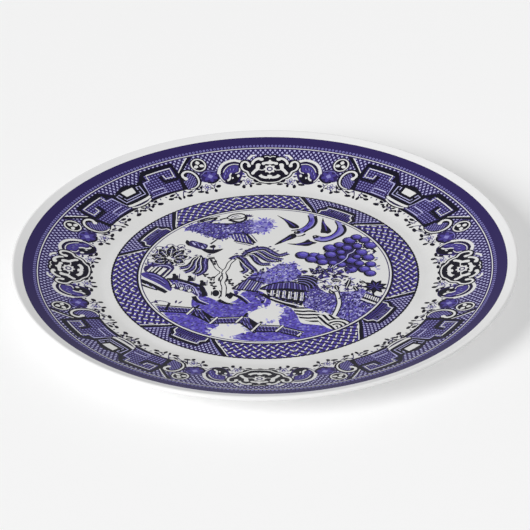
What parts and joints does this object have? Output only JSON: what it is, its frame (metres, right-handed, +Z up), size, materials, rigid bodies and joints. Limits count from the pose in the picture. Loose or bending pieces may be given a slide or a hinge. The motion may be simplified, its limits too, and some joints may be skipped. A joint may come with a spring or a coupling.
{
  "type": "dinner plate",
  "caption": "Round glazed china dinner plate with a raised rim, a foot ring and a blue printed border, well band and landscape scene.",
  "frame": {"origin": "centre of the plate on the plane that the foot ring stands on", "axes": "+Z up out of the face along the axis of rotation; +Y towards the top of the printed scene; +X to the scene's right"},
  "size_m": [0.267, 0.267, 0.0198],
  "materials": {
    "biscuit": "matt fired clay, bare on the standing edge of the foot ring",
    "glaze": "glossy clear glaze over white clay",
    "band_print": "solid violet-navy print under gloss",
    "border_print": "blue and navy line print under gloss",
    "scene_print": "blue wash and navy line print under gloss"
  },
  "bodies": {
    "root": {"biscuit_body": "biscuit", "face_glaze": "glaze", "base_glaze": "glaze", "edge_band": "band_print", "bead_line": "border_print", "rim_border_east": "border_print", "rim_border_north": "border_print", "rim_border_west": "border_print", "rim_border_south": "border_print", "well_border_northeast": "border_print", "well_border_northwest": "border_print", "well_border_southwest": "border_print", "well_border_southeast": "border_print", "ring_line": "band_print", "centre_scene": "scene_print"}
  },
  "joints": []
}
